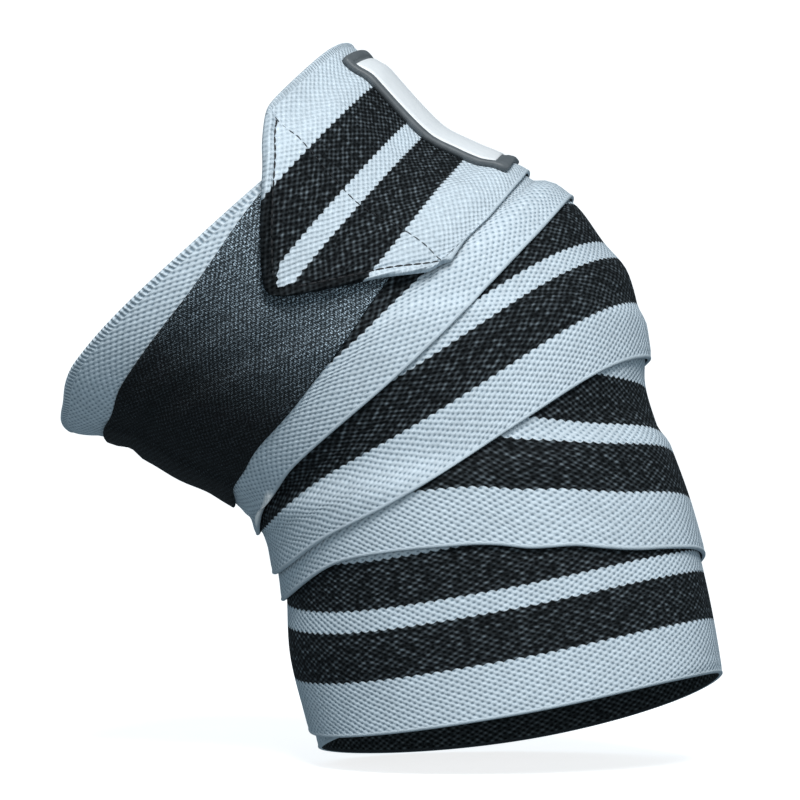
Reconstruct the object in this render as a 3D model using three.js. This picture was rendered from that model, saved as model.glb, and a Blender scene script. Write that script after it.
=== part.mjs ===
// A striped elastic knee wrap, wound round a bent right knee and fastened by its pointed flap.
// Millimetres. +X points to the front of the knee, -Y to the outer side of the leg, +Z up.
// The origin is the centre of the knee.
import * as THREE from "three";

// The woven strip, the air left between its turns, and how finely it is faceted
const BAND = { thickness: 1.4, layerGap: 0.7, cellsAcross: 8, rowsPerTurn: 48 };

// Air under a piece that is sewn flat to the strip
const SEWN_GAP = 0.4;

// A turn climbs over the edge of the one beneath it: level this far past the edge, then falling over the ramp
const CLIMB = { level: 10, ramp: 20 };

// The knee form that the strip is wound on, one row for each section from the calf to the thigh.
// "along" is the distance up the leg from the knee's centre.
// back and front are the two ends of the section's axis.
const SECTIONS = [
  { name: "calf_end", along: -135, backX: -42, backZ: -126, frontX: 92, frontZ: -106, halfWidth: 57 },
  { name: "calf_rim", along: -108, backX: -48, backZ: -100, frontX: 88.5, frontZ: -79, halfWidth: 58 },
  { name: "calf", along: -80, backX: -53, backZ: -73, frontX: 83.5, frontZ: -51, halfWidth: 59 },
  { name: "shin_top", along: -55, backX: -56.5, backZ: -51, frontX: 76, frontZ: -22, halfWidth: 60 },
  { name: "below_knee", along: -32, backX: -58, backZ: -36, frontX: 65.5, frontZ: 7, halfWidth: 61 },
  { name: "knee", along: -12, backX: -60.5, backZ: -28, frontX: 62.5, frontZ: 31, halfWidth: 62 },
  { name: "kneecap", along: 8, backX: -66, backZ: -21.5, frontX: 57, frontZ: 56, halfWidth: 63 },
  { name: "above_knee", along: 28, backX: -75, backZ: -17, frontX: 40, frontZ: 77, halfWidth: 65 },
  { name: "low_thigh", along: 50, backX: -91, backZ: -10, frontX: 17, frontZ: 93, halfWidth: 68 },
  { name: "thigh", along: 76, backX: -111, backZ: 0, frontX: -9, frontZ: 103, halfWidth: 71 },
  { name: "thigh_rim", along: 104, backX: -131, backZ: 5, frontX: -32, frontZ: 128, halfWidth: 74 },
  { name: "thigh_end", along: 125, backX: -146, backZ: 10, frontX: -49, frontZ: 146, halfWidth: 76 },
];

// The strip's course. Whole turns pass the front of the leg.
// Then come the outer side (.25), the back (.5) and the inner side (.75).
// "along" places the middle of the strip on the form, and "width" is its width there.
const WINDING = [
  { turn: 0.1, along: -64, width: 76 },
  { turn: 0.25, along: -66, width: 76 },
  { turn: 0.5, along: -74, width: 76 },
  { turn: 0.75, along: -86, width: 76 },
  { turn: 1.0, along: -72, width: 76 },
  { turn: 1.125, along: -69, width: 76 },
  { turn: 1.25, along: -69.5, width: 76 },
  { turn: 1.375, along: -69, width: 76 },
  { turn: 1.5, along: -67, width: 76 },
  { turn: 1.75, along: -54, width: 76 },
  { turn: 2.0, along: -40, width: 76 },
  { turn: 2.125, along: -31, width: 76 },
  { turn: 2.25, along: -6, width: 76 },
  { turn: 2.375, along: 18, width: 76 },
  { turn: 2.5, along: 14, width: 76 },
  { turn: 2.75, along: 10, width: 76 },
  { turn: 3.0, along: 14.5, width: 76 },
  { turn: 3.125, along: 21.5, width: 76 },
  { turn: 3.25, along: 25.5, width: 76 },
  { turn: 3.375, along: 33, width: 76 },
  { turn: 3.5, along: 34, width: 76 },
  { turn: 3.75, along: 50, width: 76 },
  { turn: 4.0, along: 62, width: 76 },
  { turn: 4.125, along: 62, width: 77 },
  { turn: 4.25, along: 62, width: 80 },
  { turn: 4.375, along: 65, width: 80 },
  { turn: 4.5, along: 57, width: 78 },
  { turn: 4.75, along: 66, width: 76 },
  { turn: 5.0, along: 77.5, width: 76 },
  { turn: 5.125, along: 79.5, width: 77 },
  { turn: 5.3, along: 80, width: 77 },
];

// The pointed end. Shares run from 0 at the strip's calf-side edge to 1 at its thigh-side edge.
const FLAP = {
  start: 5.125,
  upperCorner: 5.163,
  lowerCorner: 5.181,
  tip: 5.259,
  tipShare: 0.41,
  rounding: 0.006,
  cutBack: 0.00075,
  rows: 14,
};

// The brushed fastening panel on the last full turn, which drifts towards the calf as it runs to the back
const PANEL = { thickness: 0.9, cellsAcross: 12 };
const PANEL_COURSE = [
  { turn: 4.125, low: 0.37, high: 0.97 },
  { turn: 4.2, low: 0.34, high: 0.97 },
  { turn: 4.3, low: 0.23, high: 0.86 },
  { turn: 4.4, low: 0.15, high: 0.8 },
  { turn: 4.5, low: 0.12, high: 0.77 },
  { turn: 4.646, low: 0.12, high: 0.77 },
];

// The hook patch under the flap, set in from the flap's outline
const HOOK = { thickness: 1.0, start: 5.172, inset: 0.06, tipInset: 0.02, cellsAcross: 8 };

// The rubber patch across the flap on the front of the thigh
const LABEL = { thickness: 1.6, start: 5.0, end: 5.084, low: 0.07, high: 0.93, cellsAcross: 16 };

// Steps for measuring up the form and for its slopes, in millimetres, radians and turns
const FORM_STEP = 1.5;
const SLOPE_STEP = 0.5;
const ANGLE_STEP = 0.01;
const TURN_STEP = 0.02;
const ANGLE_KEYS = 1e6;

// Distance round the leg for one turn, where only a rough one is needed
const MEAN_GIRTH = 430;
const CLIMB_TURNS = (CLIMB.level + CLIMB.ramp) / MEAN_GIRTH;
const START = WINDING[0].turn;

// Smooth course through a table's rows: a cubic between rows, with each slope taken from its two neighbours
function smoothColumn(rows, key, column, x) {
  const last = rows.length - 1;
  let i = 0;
  while (i < last - 1 && x >= rows[i + 1][key]) {
    i += 1;
  }
  const slopeAt = (k) => {
    const a = rows[Math.max(k - 1, 0)];
    const b = rows[Math.min(k + 1, last)];
    return (b[column] - a[column]) / (b[key] - a[key]);
  };
  const from = rows[i];
  const to = rows[i + 1];
  const span = to[key] - from[key];
  const t = THREE.MathUtils.clamp((x - from[key]) / span, 0, 1);
  const rest = 1 - t;
  const level = from[column] * (1 + 2 * t) * rest * rest + to[column] * t * t * (3 - 2 * t);
  return level + span * t * rest * (slopeAt(i) * rest - slopeAt(i + 1) * t);
}

// Angle round the leg: 0 front, a quarter turn outer side, half a turn back
const angleOf = (turn) => 2 * Math.PI * turn;

// A point of the knee form
function formPoint(along, angle) {
  const at = (column) => smoothColumn(SECTIONS, "along", column, along);
  const backX = at("backX");
  const backZ = at("backZ");
  const frontX = at("frontX");
  const frontZ = at("frontZ");
  const toFront = (1 + Math.cos(angle)) / 2;
  return new THREE.Vector3(
    THREE.MathUtils.lerp(backX, frontX, toFront),
    -at("halfWidth") * Math.sin(angle),
    THREE.MathUtils.lerp(backZ, frontZ, toFront),
  );
}

// The form's outward normal
function formNormal(along, angle) {
  const up = formPoint(along + SLOPE_STEP, angle).sub(formPoint(along - SLOPE_STEP, angle));
  const round = formPoint(along, angle + ANGLE_STEP).sub(formPoint(along, angle - ANGLE_STEP));
  return up.cross(round).normalize();
}

// Lengths measured up the form at one angle, kept because many turns pass the same angle
const measuredAngles = new Map();

function lengthsAt(angle) {
  const key = Math.round((angle % (2 * Math.PI)) * ANGLE_KEYS);
  if (!measuredAngles.has(key)) {
    const first = SECTIONS[0].along;
    const steps = Math.round((SECTIONS.at(-1).along - first) / FORM_STEP);
    const table = [{ along: first, length: 0 }];
    let previous = formPoint(first, angle);
    for (let i = 1; i <= steps; i += 1) {
      const along = first + i * FORM_STEP;
      const point = formPoint(along, angle);
      table.push({ along, length: table[i - 1].length + point.distanceTo(previous) });
      previous = point;
    }
    measuredAngles.set(key, table);
  }
  return measuredAngles.get(key);
}

// Straight-line reading of a table sorted by one of its columns
function readTable(table, key, column, x) {
  let low = 0;
  let high = table.length - 1;
  while (high - low > 1) {
    const middle = (low + high) >> 1;
    if (table[middle][key] <= x) {
      low = middle;
    } else {
      high = middle;
    }
  }
  const t = (x - table[low][key]) / (table[high][key] - table[low][key]);
  return THREE.MathUtils.lerp(table[low][column], table[high][column], t);
}

// Where the strip lies at one turn: its angle, and the lengths up the form of its two edges
function bandSpan(turn) {
  const angle = angleOf(turn);
  const table = lengthsAt(angle);
  const lengthOf = (t) => readTable(table, "along", "length", smoothColumn(WINDING, "turn", "along", t));
  const before = Math.max(turn - TURN_STEP, START);
  const after = Math.min(turn + TURN_STEP, WINDING.at(-1).turn);
  const along = smoothColumn(WINDING, "turn", "along", turn);
  const run = formPoint(along, angleOf(after)).distanceTo(formPoint(along, angleOf(before)));
  const climb = (lengthOf(after) - lengthOf(before)) / run;
  const half = (smoothColumn(WINDING, "turn", "width", turn) / 2) * Math.hypot(1, climb);
  const middle = lengthOf(turn);
  return { angle, low: middle - half, high: middle + half };
}

// 1 up to the level distance past an edge, then a soft fall to 0 over the ramp
function fallAway(distance) {
  return 1 - THREE.MathUtils.smoothstep(distance, CLIMB.level, CLIMB.level + CLIMB.ramp);
}

// How far a length lies outside a span
const outside = (length, low, high) => Math.max(low - length, length - high, 0);

const between = (span, share) => THREE.MathUtils.lerp(span.low, span.high, share);

// How much the fastening panel lifts what lies over it, from 0 to 1
function panelCover(turn, length) {
  const rows = PANEL_COURSE;
  const held = THREE.MathUtils.clamp(turn, rows[0].turn, rows.at(-1).turn);
  const span = bandSpan(turn);
  const low = between(span, smoothColumn(rows, "turn", "low", held));
  const high = between(span, smoothColumn(rows, "turn", "high", held));
  return fallAway(outside(length, low, high)) * fallAway(Math.abs(turn - held) * MEAN_GIRTH);
}

// How much the hook patch lifts the flap over it, from 0 to 1
function hookCover(turn) {
  return fallAway(Math.max(HOOK.start - turn, 0) * MEAN_GIRTH);
}

// Height of the strip's inner face over the form: one layer for each turn that lies beneath
function bandLift(turn, length) {
  let height = 0;
  for (let under = turn - 1; under > START - CLIMB_TURNS; under -= 1) {
    const span = bandSpan(Math.max(under, START));
    const beyondEnd = Math.max(START - under, 0) * MEAN_GIRTH;
    const cover = fallAway(outside(length, span.low, span.high)) * fallAway(beyondEnd);
    height += cover * (BAND.thickness + BAND.layerGap);
  }
  if (turn > WINDING.at(-1).turn - 1) {
    height += panelCover(turn - 1, length) * (PANEL.thickness + BAND.layerGap);
    height += hookCover(turn) * (HOOK.thickness + BAND.layerGap);
  }
  return height;
}

// A point at a turn, a share of the strip's width and a height over the strip's inner face
function bandPoint(turn, share, height) {
  const span = bandSpan(turn);
  const length = between(span, share);
  const along = readTable(lengthsAt(span.angle), "length", "along", length);
  const lifted = bandLift(turn, length) + height;
  return formPoint(along, span.angle).addScaledVector(formNormal(along, span.angle), lifted);
}

// Shares of the strip's two edges, which close on the tip of the flap in a rounded point
function flapShares(turn) {
  const reachAt = (t) => Math.sqrt(Math.max(FLAP.tip - t, 0) * (FLAP.tip - t + 2 * FLAP.rounding));
  const reach = reachAt(turn);
  const low = FLAP.tipShare * (1 - reach / reachAt(FLAP.lowerCorner));
  const high = FLAP.tipShare + (1 - FLAP.tipShare) * (reach / reachAt(FLAP.upperCorner));
  return { low: Math.max(low, 0), high: Math.min(high, 1) };
}

// The strip's own rows: the same angles in each turn, so that the layers' facets lie parallel, then the flap
function bandTurns() {
  const turns = [START];
  for (let k = Math.ceil(START * BAND.rowsPerTurn); k / BAND.rowsPerTurn <= FLAP.start; k += 1) {
    turns.push(k / BAND.rowsPerTurn);
  }
  const point = FLAP.tip - FLAP.cutBack;
  for (let i = 1; i <= FLAP.rows; i += 1) {
    const share = Math.sin((Math.PI / 2) * (i / FLAP.rows));
    turns.push(THREE.MathUtils.lerp(FLAP.start, point, share));
  }
  return turns;
}

const BAND_TURNS = bandTurns();
const bandTurnsIn = (from, to) => BAND_TURNS.filter((turn) => turn >= from && turn <= to);

// A point seated on the facets of one of the strip's rows, at a height over the strip's inner face
function seatedPoint(turn, share, height) {
  const { low, high } = flapShares(turn);
  const place = ((share - low) / (high - low)) * BAND.cellsAcross;
  const cell = THREE.MathUtils.clamp(Math.floor(place), 0, BAND.cellsAcross - 1);
  const shareOf = (column) => THREE.MathUtils.lerp(low, high, column / BAND.cellsAcross);
  const from = bandPoint(turn, shareOf(cell), height);
  const to = bandPoint(turn, shareOf(cell + 1), height);
  return from.lerp(to, place - cell);
}

// A closed wall with one row of points at each turn, between two heights over the strip's inner face
function stripSolid(turns, sharesAt, cellsAcross, innerHeight, outerHeight, pointAt) {
  const columns = cellsAcross + 1;
  const positions = [];
  for (const height of [outerHeight, innerHeight]) {
    for (const turn of turns) {
      const { low, high } = sharesAt(turn);
      for (let j = 0; j < columns; j += 1) {
        const share = THREE.MathUtils.lerp(low, high, j / cellsAcross);
        positions.push(...pointAt(turn, share, height).toArray());
      }
    }
  }
  const outer = (i, j) => i * columns + j;
  const inner = (i, j) => turns.length * columns + i * columns + j;
  const index = [];
  const quad = (a, b, c, d) => index.push(a, b, c, a, c, d);
  const lastRow = turns.length - 1;
  for (let i = 0; i < lastRow; i += 1) {
    for (let j = 0; j < cellsAcross; j += 1) {
      quad(outer(i, j), outer(i, j + 1), outer(i + 1, j + 1), outer(i + 1, j));
      quad(inner(i, j), inner(i + 1, j), inner(i + 1, j + 1), inner(i, j + 1));
    }
    quad(outer(i, 0), outer(i + 1, 0), inner(i + 1, 0), inner(i, 0));
    quad(outer(i, cellsAcross), inner(i, cellsAcross), inner(i + 1, cellsAcross), outer(i + 1, cellsAcross));
  }
  for (let j = 0; j < cellsAcross; j += 1) {
    quad(outer(0, j), inner(0, j), inner(0, j + 1), outer(0, j + 1));
    quad(outer(lastRow, j), outer(lastRow, j + 1), inner(lastRow, j + 1), inner(lastRow, j));
  }
  const geometry = new THREE.BufferGeometry();
  geometry.setAttribute("position", new THREE.Float32BufferAttribute(positions, 3));
  geometry.setIndex(index);
  geometry.computeVertexNormals();
  return geometry;
}

// The whole strip, from its first end under the first turn to the tip of the flap
function bandGeometry() {
  return stripSolid(BAND_TURNS, flapShares, BAND.cellsAcross, 0, BAND.thickness, bandPoint);
}

// The fastening panel, on the outer face of the last full turn
function panelGeometry() {
  const shares = (turn) => ({
    low: smoothColumn(PANEL_COURSE, "turn", "low", turn),
    high: smoothColumn(PANEL_COURSE, "turn", "high", turn),
  });
  const turns = bandTurnsIn(PANEL_COURSE[0].turn, PANEL_COURSE.at(-1).turn);
  const inner = BAND.thickness + SEWN_GAP;
  return stripSolid(turns, shares, PANEL.cellsAcross, inner, inner + PANEL.thickness, seatedPoint);
}

// The hook patch, against the inner face of the flap
function hookGeometry() {
  const shares = (turn) => {
    const { low, high } = flapShares(turn);
    return { low: low + HOOK.inset, high: high - HOOK.inset };
  };
  const turns = bandTurnsIn(HOOK.start, FLAP.tip - HOOK.tipInset);
  const outer = -SEWN_GAP;
  return stripSolid(turns, shares, HOOK.cellsAcross, outer - HOOK.thickness, outer, seatedPoint);
}

// The rubber patch, on the outer face of the flap
function labelGeometry() {
  const shares = () => ({ low: LABEL.low, high: LABEL.high });
  const turns = bandTurnsIn(LABEL.start, LABEL.end);
  const inner = BAND.thickness + SEWN_GAP;
  return stripSolid(turns, shares, LABEL.cellsAcross, inner, inner + LABEL.thickness, seatedPoint);
}

// Pieces
const PIECES = [
  { name: "band", geometry: bandGeometry(), color: 0x8fa0ab, roughness: 0.9 },
  { name: "loop_panel", geometry: panelGeometry(), color: 0x22262b, roughness: 0.95 },
  { name: "hook_patch", geometry: hookGeometry(), color: 0x17181a, roughness: 0.8 },
  { name: "label_patch", geometry: labelGeometry(), color: 0x1c1d20, roughness: 0.5 },
];

const wrap = new THREE.Group();
for (const { name, geometry, color, roughness } of PIECES) {
  const material = new THREE.MeshStandardMaterial({ color, roughness, metalness: 0 });
  const mesh = new THREE.Mesh(geometry, material);
  mesh.name = name;
  wrap.add(mesh);
}

export default wrap;
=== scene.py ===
"""Looks for a striped elastic knee wrap, wound round a bent knee and fastened by its pointed flap.

Sizes are in millimetres, unless noted, and every mesh is made in metres in the shared frame.
+X points to the front of the knee, -Y to the outer side of the leg and +Z up.
The origin is the knee's centre.
"""

import logging
import math
from dataclasses import dataclass
from enum import Enum

import bmesh
import bpy
import numpy as np
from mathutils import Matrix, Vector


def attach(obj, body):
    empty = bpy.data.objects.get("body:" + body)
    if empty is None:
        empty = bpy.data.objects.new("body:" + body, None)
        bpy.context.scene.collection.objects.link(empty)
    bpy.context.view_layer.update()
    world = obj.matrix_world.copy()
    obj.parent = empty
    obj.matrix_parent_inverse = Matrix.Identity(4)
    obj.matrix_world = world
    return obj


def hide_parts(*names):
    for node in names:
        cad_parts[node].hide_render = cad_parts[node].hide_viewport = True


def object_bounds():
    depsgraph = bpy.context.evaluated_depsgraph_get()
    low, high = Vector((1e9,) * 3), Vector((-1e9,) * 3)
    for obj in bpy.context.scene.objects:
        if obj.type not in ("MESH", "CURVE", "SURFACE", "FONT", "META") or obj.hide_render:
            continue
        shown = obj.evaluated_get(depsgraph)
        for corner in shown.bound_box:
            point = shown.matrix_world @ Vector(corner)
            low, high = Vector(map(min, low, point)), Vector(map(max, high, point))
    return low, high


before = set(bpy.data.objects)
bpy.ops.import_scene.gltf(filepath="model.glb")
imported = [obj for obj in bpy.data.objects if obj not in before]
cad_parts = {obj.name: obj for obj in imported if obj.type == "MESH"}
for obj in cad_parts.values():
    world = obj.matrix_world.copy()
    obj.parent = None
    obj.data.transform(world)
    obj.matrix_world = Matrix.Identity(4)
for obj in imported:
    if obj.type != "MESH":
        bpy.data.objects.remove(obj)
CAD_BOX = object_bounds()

log = logging.getLogger("knee_wrap")

Array = np.ndarray
Colour = tuple[float, float, float]
Point = tuple[float, float, float]
Span = tuple[float, float]
Steps = tuple[float, ...]
Pair = tuple[Array, Array]
Faces = list[tuple[int, ...]]

MM = 0.001
TAU = 2.0 * math.pi
BODY = "root"


class Slot(Enum):
    """Names of material slots."""

    ELASTIC = "elastic_weave"
    LOOP = "loop_fabric"
    HOOK = "hook_tape"
    RUBBER = "label_rubber"


def soft_step(value: Array, low: float, high: float) -> Array:
    """Rises smoothly from 0 to 1.

    Args:
        value: Where to read the step.
        low: Value at which the step starts.
        high: Value at which the step is whole.

    Returns:
        Numbers from 0 to 1, of value's shape.
    """
    t = np.clip((value - low) / (high - low), 0.0, 1.0)
    return t * t * (3.0 - 2.0 * t)


def unit(vectors: Array) -> Array:
    """Vectors of the same directions, of length 1."""
    return vectors / np.linalg.norm(vectors, axis=-1, keepdims=True)


def run_lengths(line: Array) -> Array:
    """Lengths along a line of points in metres, counted in millimetres from its first point."""
    steps = np.linalg.norm(np.diff(line, axis=0), axis=1)
    return np.concatenate([[0.0], np.cumsum(steps)]) / MM


def spaced(width: Array, steps: Steps, stretch: Pair, cells: int, room: float) -> Array:
    """Distances across a strip: close together at its edges, even between them.

    Args:
        width: Width of each row.
        steps: Distances from an edge.
        stretch: How much the low and the high edge's steps are stretched, for each row.
        cells: Cells between the two sets of steps.
        room: Width that is kept free beside each set of steps.

    Returns:
        Distances from the low edge, shape (rows, columns).
    """
    low, high = stretch
    fit = np.minimum(1.0, width / ((low + high) * (steps[-1] + room)))[:, None]
    from_edge = np.array(steps)[None, :]
    left = from_edge * low[:, None] * fit
    right = width[:, None] - from_edge[:, ::-1] * high[:, None] * fit
    share = np.linspace(0.0, 1.0, cells + 1)[None, 1:-1]
    middle = left[:, -1:] + (right[:, :1] - left[:, -1:]) * share
    return np.concatenate([left, middle, right], axis=1)


@dataclass(frozen=True)
class Course:
    """A table with named columns, read as smooth curves over its first column."""

    columns: tuple[str, ...]
    rows: tuple[tuple[float, ...], ...]

    @property
    def first(self) -> float:
        """The first column's first value."""
        return self.rows[0][0]

    @property
    def last(self) -> float:
        """The first column's last value."""
        return self.rows[-1][0]

    def read(self, column: str, at: Array) -> Array:
        """Reads a column as a cubic between rows, with each slope taken from the two neighbouring rows.

        Args:
            column: Name of the column.
            at: Values of the first column; beyond the table its end rows hold.

        Returns:
            The column's values, of at's shape.
        """
        table = np.asarray(self.rows, float)
        x = table[:, 0]
        y = table[:, self.columns.index(column)]
        order = np.arange(len(x))
        left = np.maximum(order - 1, 0)
        right = np.minimum(order + 1, len(x) - 1)
        slope = (y[right] - y[left]) / (x[right] - x[left])
        held = np.clip(at, x[0], x[-1])
        i = np.clip(np.searchsorted(x, held, side="right") - 1, 0, len(x) - 2)
        span = x[i + 1] - x[i]
        t = (held - x[i]) / span
        rest = 1.0 - t
        level = y[i] * (1.0 + 2.0 * t) * rest**2 + y[i + 1] * t**2 * (3.0 - 2.0 * t)
        return level + span * t * rest * (slope[i] * rest - slope[i + 1] * t)


# The knee form: its back and front points and its half width, by distance up the leg from the knee's centre
SECTIONS = Course(
    columns=("along", "back_x", "back_z", "front_x", "front_z", "half_width"),
    rows=(
        (-135.0, -42.0, -126.0, 92.0, -106.0, 57.0),
        (-108.0, -46.3, -100.0, 88.5, -79.0, 58.0),
        (-80.0, -53.0, -73.0, 83.5, -51.0, 59.0),
        (-55.0, -54.3, -51.0, 76.0, -22.0, 60.0),
        (-32.0, -56.5, -36.0, 65.5, 7.0, 61.0),
        (-22.0, -57.7, -31.6, 62.2, 19.0, 61.5),
        (-12.0, -59.5, -27.5, 62.0, 31.0, 62.0),
        (8.0, -65.0, -20.6, 56.7, 55.8, 63.0),
        (18.0, -69.1, -18.0, 48.4, 66.2, 64.0),
        (28.0, -74.2, -15.4, 40.4, 77.3, 65.0),
        (33.0, -77.7, -13.2, 35.0, 81.5, 65.7),
        (37.0, -80.7, -11.4, 30.6, 84.3, 66.3),
        (40.5, -83.5, -10.1, 24.8, 84.6, 66.8),
        (50.0, -91.0, -7.0, 16.2, 90.6, 68.0),
        (63.0, -101.2, -1.0, 3.2, 96.2, 69.6),
        (76.0, -111.0, 2.8, -9.0, 103.0, 71.0),
        (104.0, -128.4, 3.6, -32.0, 128.0, 74.0),
        (125.0, -146.0, 10.0, -49.0, 146.0, 76.0),
    ),
)

# The strip's course: how far up the leg its middle line lies and its width, by turns round the leg
WINDING = Course(
    columns=("turn", "along", "width"),
    rows=(
        (0.1, -64.0, 76.0),
        (0.25, -66.0, 76.0),
        (0.375, -66.0, 76.0),
        (0.5, -73.5, 76.0),
        (0.75, -87.0, 76.0),
        (1.0, -72.0, 76.0),
        (1.125, -69.0, 76.0),
        (1.25, -69.5, 76.0),
        (1.375, -69.0, 76.0),
        (1.5, -64.0, 80.0),
        (1.75, -54.0, 76.0),
        (2.0, -40.0, 76.0),
        (2.125, -31.0, 76.0),
        (2.2, -18.7, 72.5),
        (2.25, -6.0, 75.0),
        (2.375, 18.0, 76.0),
        (2.5, 11.5, 76.0),
        (2.75, 10.0, 76.0),
        (3.0, 14.5, 76.0),
        (3.125, 20.6, 76.0),
        (3.25, 24.9, 78.0),
        (3.375, 32.9, 80.2),
        (3.5, 31.0, 78.0),
        (3.75, 50.0, 76.0),
        (4.0, 62.0, 76.0),
        (4.125, 62.0, 77.0),
        (4.25, 62.2, 80.8),
        (4.375, 64.8, 80.6),
        (4.43, 59.9, 76.0),
        (4.5, 52.6, 80.4),
        (4.75, 66.0, 76.0),
        (5.0, 78.4, 75.2),
        (5.06, 79.4, 78.1),
        (5.125, 78.6, 80.0),
        (5.19, 76.8, 82.5),
        (5.22, 75.7, 82.3),
        (5.3, 71.5, 82.0),
    ),
)

# The fastening panel's two edges as shares of the strip's width, by turns round the leg
PANEL_COURSE = Course(
    columns=("turn", "low", "high"),
    rows=(
        (4.125, 0.37, 0.97),
        (4.2, 0.34, 0.97),
        (4.3, 0.23, 0.845),
        (4.4, 0.16, 0.785),
        (4.45, 0.185, 0.82),
        (4.5, 0.21, 0.85),
        (4.646, 0.21, 0.85),
    ),
)


@dataclass(frozen=True)
class KneeForm:
    """The bent knee that the strip is wound on, as sections from the calf up to the thigh."""

    sections: Course = SECTIONS
    station_step: float = 1.5
    slope_step: float = 0.5
    angle_step: float = 0.01

    def point(self, along: Array, angle: Array) -> Array:
        """Points of the form.

        Args:
            along: Distances up the leg from the knee's centre.
            angle: Angles round the leg: 0 front, a quarter turn outer side, half a turn back.

        Returns:
            Points in millimetres, one more axis than the broadcast inputs.
        """
        back_x, back_z, front_x, front_z, half = (
            self.sections.read(name, along) for name in self.sections.columns[1:]
        )
        to_front = (1.0 + np.cos(angle)) / 2.0
        x = back_x + (front_x - back_x) * to_front
        z = back_z + (front_z - back_z) * to_front
        return np.stack(np.broadcast_arrays(x, -half * np.sin(angle), z), -1)

    def normal(self, along: Array, angle: Array) -> Array:
        """Outward unit normals of the form.

        Args:
            along: Distances up the leg from the knee's centre.
            angle: Angles round the leg, as for point.

        Returns:
            Normals, one more axis than the broadcast inputs.
        """
        up = self.point(along + self.slope_step, angle) - self.point(along - self.slope_step, angle)
        around = self.point(along, angle + self.angle_step) - self.point(along, angle - self.angle_step)
        return unit(np.cross(up, around))

    def stations(self) -> Array:
        """Distances up the leg at which lengths are measured."""
        return np.arange(self.sections.first, self.sections.last, self.station_step)

    def lengths(self, angle: Array) -> Array:
        """Lengths measured up the form at each station.

        Args:
            angle: One angle for each row.

        Returns:
            Lengths of shape (rows, stations).
        """
        points = self.point(self.stations()[None, :], np.asarray(angle)[:, None])
        steps = np.linalg.norm(np.diff(points, axis=1), axis=2)
        return np.concatenate([np.zeros((len(steps), 1)), np.cumsum(steps, axis=1)], axis=1)


@dataclass(frozen=True)
class Flap:
    """The strip's pointed end. Shares run from 0 at its calf-side edge to 1 at its thigh-side edge."""

    start: float = 5.125
    upper_corner: float = 5.16
    lower_corner: float = 5.183
    tip: float = 5.261
    tip_share: float = 0.5
    rounding: float = 0.01
    cut_slope: float = 0.7
    corner_blend: float = 0.004
    corner_round: float = 0.035

    def reach(self, turns: Array) -> Array:
        """How far the pointed outline still has to run at each turn, rounded at the tip."""
        rest = np.maximum(self.tip - np.asarray(turns, float), 0.0)
        return np.sqrt(rest * (rest + 2.0 * self.rounding))

    def shares(self, turns: Array) -> Pair:
        """Shares of the strip's low and high edges, which close on the tip.

        Args:
            turns: Where to read the outline.

        Returns:
            The low and the high shares.
        """
        low = self.tip_share * (1.0 - self.reach(turns) / self.reach(self.lower_corner))
        high = self.tip_share + (1.0 - self.tip_share) * self.reach(turns) / self.reach(self.upper_corner)
        high = (1.0 + high - np.hypot(high - 1.0, self.corner_round)) / 2.0
        return np.maximum(low, 0.0), high


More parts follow.
